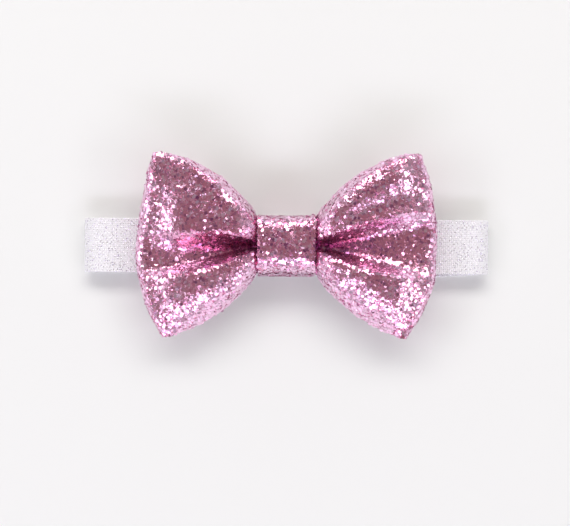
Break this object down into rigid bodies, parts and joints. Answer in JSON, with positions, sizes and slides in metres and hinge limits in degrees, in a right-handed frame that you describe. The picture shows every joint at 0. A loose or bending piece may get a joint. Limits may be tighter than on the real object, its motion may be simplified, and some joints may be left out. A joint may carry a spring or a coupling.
{
  "type": "hair bow on an elastic headband",
  "caption": "Glitter fabric bow: a folded strip pinched at the waist and bound, with a knot strip that wraps it onto a flat elastic headband loop along which it slides.",
  "frame": {"origin": "middle of the underside of the headband's back strand, with the bow lying on its back", "axes": "+X along the headband, +Y across it towards the bow's upper edge, +Z the way the bow faces"},
  "size_m": [0.15, 0.0673, 0.0237],
  "materials": {
    "glitter_fabric": "coated fabric covered in rose-pink metallic flakes, sparkling",
    "glitter_elastic": "ribbed white elastic with a fine iridescent sparkle",
    "sewing_thread": "twisted polyester thread, satin"
  },
  "bodies": {
    "headband": {"headband_elastic": "glitter_elastic", "headband_join_stitches": "sewing_thread"},
    "bow": {"bow_strip": "glitter_fabric", "bow_end_stitches": "sewing_thread", "waist_binding_thread": "sewing_thread", "knot_wrap": "glitter_fabric", "knot_back_stitches": "sewing_thread"}
  },
  "joints": [
    {"name": "bow_slide", "type": "slide", "parent": "headband", "child": "bow", "axis": [1, 0, 0], "range_m": [-0.059, 0.059]}
  ]
}
